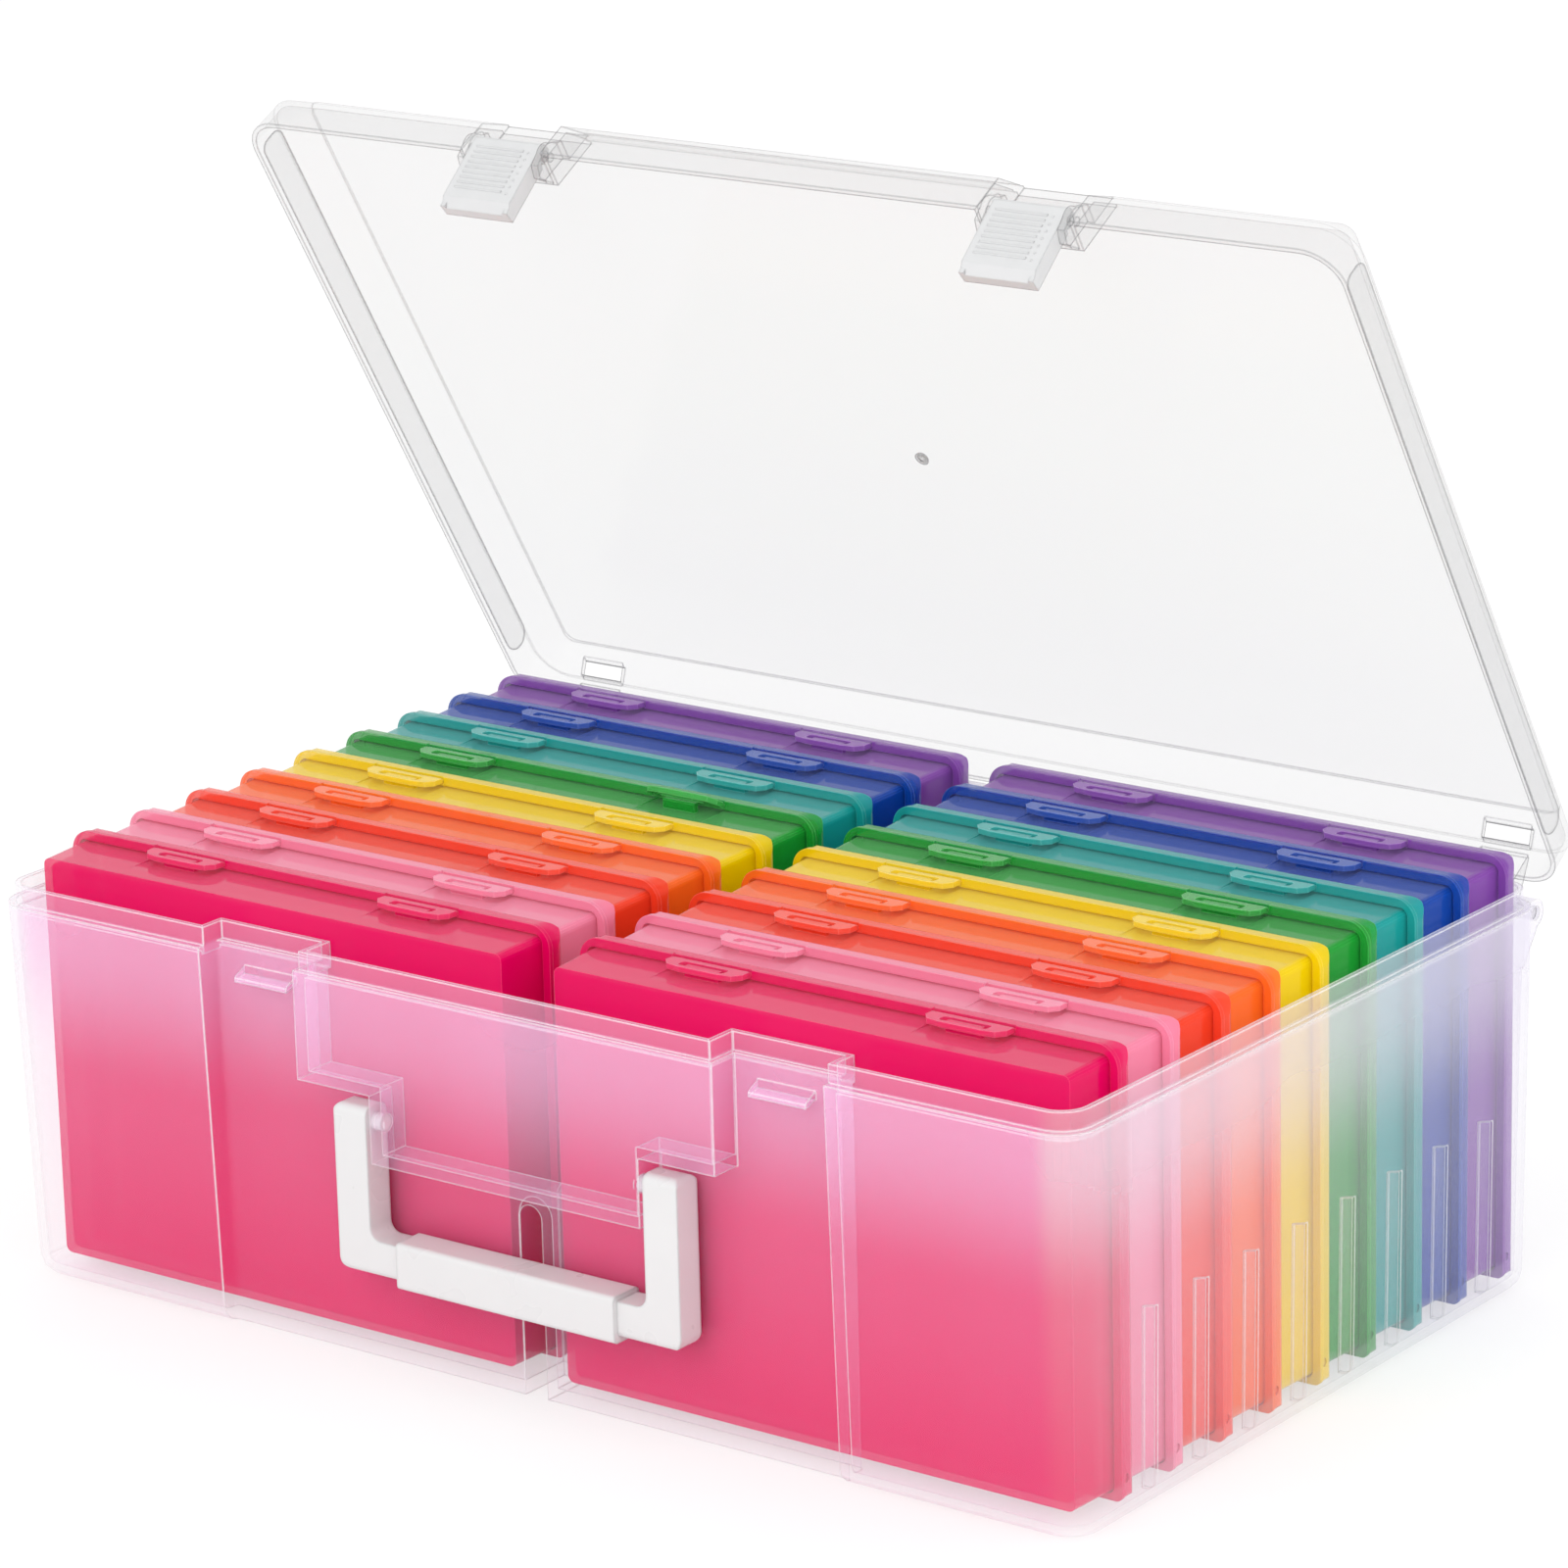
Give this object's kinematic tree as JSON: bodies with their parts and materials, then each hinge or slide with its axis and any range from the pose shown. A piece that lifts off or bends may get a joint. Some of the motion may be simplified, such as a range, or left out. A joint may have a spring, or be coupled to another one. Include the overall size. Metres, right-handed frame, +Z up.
{
  "type": "photo keeper case",
  "caption": "Clear carrying case with a hinged lid, two latches and a swing handle, holding two columns of snap-shut translucent photo boxes in rainbow colours.",
  "frame": {"origin": "centre of the flat underside of the tub", "axes": "+Z up, front with the latches and handle towards -Y, +X to the viewer's right when facing the front"},
  "size_m": [0.3646, 0.2525, 0.3173],
  "materials": {
    "tub_clear": "clear with slightly frosted faces",
    "lid_clear": "clear",
    "handle_white": "opaque gloss white",
    "latch_frosted": "frosted, ribbed",
    "box_magenta": "translucent gloss",
    "box_light_pink": "translucent gloss",
    "box_red": "translucent gloss",
    "box_orange": "translucent gloss",
    "box_yellow": "translucent gloss",
    "box_green": "translucent gloss",
    "box_teal": "translucent gloss",
    "box_blue": "translucent gloss",
    "box_purple": "translucent gloss"
  },
  "bodies": {
    "tub": {"tub": "tub_clear"},
    "lid": {"lid": "lid_clear"},
    "handle": {"handle": "handle_white"},
    "latch_left": {"latch_left": "latch_frosted"},
    "latch_right": {"latch_right": "latch_frosted"},
    "box_left_magenta": {"tray_left_magenta": "box_magenta", "cover_left_magenta": "box_magenta"},
    "loops_left_magenta": {"snap_loops_left_magenta": "box_magenta"},
    "box_right_magenta": {"tray_right_magenta": "box_magenta", "cover_right_magenta": "box_magenta"},
    "loops_right_magenta": {"snap_loops_right_magenta": "box_magenta"},
    "box_left_light_pink": {"tray_left_light_pink": "box_light_pink", "cover_left_light_pink": "box_light_pink"},
    "loops_left_light_pink": {"snap_loops_left_light_pink": "box_light_pink"},
    "box_right_light_pink": {"tray_right_light_pink": "box_light_pink", "cover_right_light_pink": "box_light_pink"},
    "loops_right_light_pink": {"snap_loops_right_light_pink": "box_light_pink"},
    "box_left_red": {"tray_left_red": "box_red", "cover_left_red": "box_red"},
    "loops_left_red": {"snap_loops_left_red": "box_red"},
    "box_right_red": {"tray_right_red": "box_red", "cover_right_red": "box_red"},
    "loops_right_red": {"snap_loops_right_red": "box_red"},
    "box_left_orange": {"tray_left_orange": "box_orange", "cover_left_orange": "box_orange"},
    "loops_left_orange": {"snap_loops_left_orange": "box_orange"},
    "box_right_orange": {"tray_right_orange": "box_orange", "cover_right_orange": "box_orange"},
    "loops_right_orange": {"snap_loops_right_orange": "box_orange"},
    "box_left_yellow": {"tray_left_yellow": "box_yellow", "cover_left_yellow": "box_yellow"},
    "loops_left_yellow": {"snap_loops_left_yellow": "box_yellow"},
    "box_right_yellow": {"tray_right_yellow": "box_yellow", "cover_right_yellow": "box_yellow"},
    "loops_right_yellow": {"snap_loops_right_yellow": "box_yellow"},
    "box_left_green": {"tray_left_green": "box_green", "cover_left_green": "box_green"},
    "loops_left_green": {"snap_loop_left_green": "box_green"},
    "loop_lifted": {"snap_loop_lifted": "box_green"},
    "box_right_green": {"tray_right_green": "box_green", "cover_right_green": "box_green"},
    "loops_right_green": {"snap_loops_right_green": "box_green"},
    "box_left_teal": {"tray_left_teal": "box_teal", "cover_left_teal": "box_teal"},
    "loops_left_teal": {"snap_loops_left_teal": "box_teal"},
    "box_right_teal": {"tray_right_teal": "box_teal", "cover_right_teal": "box_teal"},
    "loops_right_teal": {"snap_loops_right_teal": "box_teal"},
    "box_left_blue": {"tray_left_blue": "box_blue", "cover_left_blue": "box_blue"},
    "loops_left_blue": {"snap_loops_left_blue": "box_blue"},
    "box_right_blue": {"tray_right_blue": "box_blue", "cover_right_blue": "box_blue"},
    "loops_right_blue": {"snap_loops_right_blue": "box_blue"},
    "box_left_purple": {"tray_left_purple": "box_purple", "cover_left_purple": "box_purple"},
    "loops_left_purple": {"snap_loops_left_purple": "box_purple"},
    "box_right_purple": {"tray_right_purple": "box_purple", "cover_right_purple": "box_purple"},
    "loops_right_purple": {"snap_loops_right_purple": "box_purple"}
  },
  "joints": [
    {"name": "lid_hinge", "type": "hinge", "parent": "tub", "child": "lid", "pos_m": [0, 0.1203, 0.1044], "axis": [-1, 0, 0], "range_deg": [-59.3, 45]},
    {"name": "latch_left_pivot", "type": "hinge", "parent": "lid", "child": "latch_left", "pos_m": [-0.087, 0.00953, 0.30937], "axis": [1, 0, 0], "range_deg": [-112, 0]},
    {"name": "latch_right_pivot", "type": "hinge", "parent": "lid", "child": "latch_right", "pos_m": [0.087, 0.00953, 0.30937], "axis": [1, 0, 0], "range_deg": [-112, 0]},
    {"name": "handle_pivot", "type": "hinge", "parent": "tub", "child": "handle", "pos_m": [0, -0.1114, 0.071], "axis": [-1, 0, 0], "range_deg": [0, 110]},
    {"name": "box_left_magenta_lift", "type": "slide", "parent": "tub", "child": "box_left_magenta", "axis": [0, 0, 1], "range_m": [0, 0.115]},
    {"name": "loops_left_magenta_hinge", "type": "hinge", "parent": "box_left_magenta", "child": "loops_left_magenta", "pos_m": [-0.0905, -0.0868, 0.12415], "axis": [-1, 0, 0], "range_deg": [0, 100]},
    {"name": "box_right_magenta_lift", "type": "slide", "parent": "tub", "child": "box_right_magenta", "axis": [0, 0, 1], "range_m": [0, 0.115]},
    {"name": "loops_right_magenta_hinge", "type": "hinge", "parent": "box_right_magenta", "child": "loops_right_magenta", "pos_m": [0.0905, -0.0868, 0.12415], "axis": [-1, 0, 0], "range_deg": [0, 100]},
    {"name": "box_left_light_pink_lift", "type": "slide", "parent": "tub", "child": "box_left_light_pink", "axis": [0, 0, 1], "range_m": [0, 0.115]},
    {"name": "loops_left_light_pink_hinge", "type": "hinge", "parent": "box_left_light_pink", "child": "loops_left_light_pink", "pos_m": [-0.0905, -0.0632, 0.12415], "axis": [-1, 0, 0], "range_deg": [0, 100]},
    {"name": "box_right_light_pink_lift", "type": "slide", "parent": "tub", "child": "box_right_light_pink", "axis": [0, 0, 1], "range_m": [0, 0.115]},
    {"name": "loops_right_light_pink_hinge", "type": "hinge", "parent": "box_right_light_pink", "child": "loops_right_light_pink", "pos_m": [0.0905, -0.0632, 0.12415], "axis": [-1, 0, 0], "range_deg": [0, 100]},
    {"name": "box_left_red_lift", "type": "slide", "parent": "tub", "child": "box_left_red", "axis": [0, 0, 1], "range_m": [0, 0.115]},
    {"name": "loops_left_red_hinge", "type": "hinge", "parent": "box_left_red", "child": "loops_left_red", "pos_m": [-0.0905, -0.0396, 0.12415], "axis": [-1, 0, 0], "range_deg": [0, 100]},
    {"name": "box_right_red_lift", "type": "slide", "parent": "tub", "child": "box_right_red", "axis": [0, 0, 1], "range_m": [0, 0.115]},
    {"name": "loops_right_red_hinge", "type": "hinge", "parent": "box_right_red", "child": "loops_right_red", "pos_m": [0.0905, -0.0396, 0.12415], "axis": [-1, 0, 0], "range_deg": [0, 100]},
    {"name": "box_left_orange_lift", "type": "slide", "parent": "tub", "child": "box_left_orange", "axis": [0, 0, 1], "range_m": [0, 0.115]},
    {"name": "loops_left_orange_hinge", "type": "hinge", "parent": "box_left_orange", "child": "loops_left_orange", "pos_m": [-0.0905, -0.016, 0.12415], "axis": [-1, 0, 0], "range_deg": [0, 100]},
    {"name": "box_right_orange_lift", "type": "slide", "parent": "tub", "child": "box_right_orange", "axis": [0, 0, 1], "range_m": [0, 0.115]},
    {"name": "loops_right_orange_hinge", "type": "hinge", "parent": "box_right_orange", "child": "loops_right_orange", "pos_m": [0.0905, -0.016, 0.12415], "axis": [-1, 0, 0], "range_deg": [0, 100]},
    {"name": "box_left_yellow_lift", "type": "slide", "parent": "tub", "child": "box_left_yellow", "axis": [0, 0, 1], "range_m": [0, 0.115]},
    {"name": "loops_left_yellow_hinge", "type": "hinge", "parent": "box_left_yellow", "child": "loops_left_yellow", "pos_m": [-0.0905, 0.0076, 0.12415], "axis": [-1, 0, 0], "range_deg": [0, 100]},
    {"name": "box_right_yellow_lift", "type": "slide", "parent": "tub", "child": "box_right_yellow", "axis": [0, 0, 1], "range_m": [0, 0.115]},
    {"name": "loops_right_yellow_hinge", "type": "hinge", "parent": "box_right_yellow", "child": "loops_right_yellow", "pos_m": [0.0905, 0.0076, 0.12415], "axis": [-1, 0, 0], "range_deg": [0, 100]},
    {"name": "box_left_green_lift", "type": "slide", "parent": "tub", "child": "box_left_green", "axis": [0, 0, 1], "range_m": [0, 0.115]},
    {"name": "loops_left_green_hinge", "type": "hinge", "parent": "box_left_green", "child": "loops_left_green", "pos_m": [-0.0905, 0.0312, 0.12415], "axis": [-1, 0, 0], "range_deg": [0, 100]},
    {"name": "loop_lifted_hinge", "type": "hinge", "parent": "box_left_green", "child": "loop_lifted", "pos_m": [-0.0905, 0.0312, 0.12415], "axis": [-1, 0, 0], "range_deg": [-30, 70]},
    {"name": "box_right_green_lift", "type": "slide", "parent": "tub", "child": "box_right_green", "axis": [0, 0, 1], "range_m": [0, 0.115]},
    {"name": "loops_right_green_hinge", "type": "hinge", "parent": "box_right_green", "child": "loops_right_green", "pos_m": [0.0905, 0.0312, 0.12415], "axis": [-1, 0, 0], "range_deg": [0, 100]},
    {"name": "box_left_teal_lift", "type": "slide", "parent": "tub", "child": "box_left_teal", "axis": [0, 0, 1], "range_m": [0, 0.112]},
    {"name": "loops_left_teal_hinge", "type": "hinge", "parent": "box_left_teal", "child": "loops_left_teal", "pos_m": [-0.0905, 0.0548, 0.12415], "axis": [-1, 0, 0], "range_deg": [0, 100]},
    {"name": "box_right_teal_lift", "type": "slide", "parent": "tub", "child": "box_right_teal", "axis": [0, 0, 1], "range_m": [0, 0.112]},
    {"name": "loops_right_teal_hinge", "type": "hinge", "parent": "box_right_teal", "child": "loops_right_teal", "pos_m": [0.0905, 0.0548, 0.12415], "axis": [-1, 0, 0], "range_deg": [0, 100]},
    {"name": "box_left_blue_lift", "type": "slide", "parent": "tub", "child": "box_left_blue", "axis": [0, 0, 1], "range_m": [0, 0.074]},
    {"name": "loops_left_blue_hinge", "type": "hinge", "parent": "box_left_blue", "child": "loops_left_blue", "pos_m": [-0.0905, 0.0784, 0.12415], "axis": [-1, 0, 0], "range_deg": [0, 100]},
    {"name": "box_right_blue_lift", "type": "slide", "parent": "tub", "child": "box_right_blue", "axis": [0, 0, 1], "range_m": [0, 0.074]},
    {"name": "loops_right_blue_hinge", "type": "hinge", "parent": "box_right_blue", "child": "loops_right_blue", "pos_m": [0.0905, 0.0784, 0.12415], "axis": [-1, 0, 0], "range_deg": [0, 100]},
    {"name": "box_left_purple_lift", "type": "slide", "parent": "tub", "child": "box_left_purple", "axis": [0, 0, 1], "range_m": [0, 0.034]},
    {"name": "loops_left_purple_hinge", "type": "hinge", "parent": "box_left_purple", "child": "loops_left_purple", "pos_m": [-0.0905, 0.102, 0.12415], "axis": [-1, 0, 0], "range_deg": [0, 100]},
    {"name": "box_right_purple_lift", "type": "slide", "parent": "tub", "child": "box_right_purple", "axis": [0, 0, 1], "range_m": [0, 0.034]},
    {"name": "loops_right_purple_hinge", "type": "hinge", "parent": "box_right_purple", "child": "loops_right_purple", "pos_m": [0.0905, 0.102, 0.12415], "axis": [-1, 0, 0], "range_deg": [0, 100]}
  ]
}
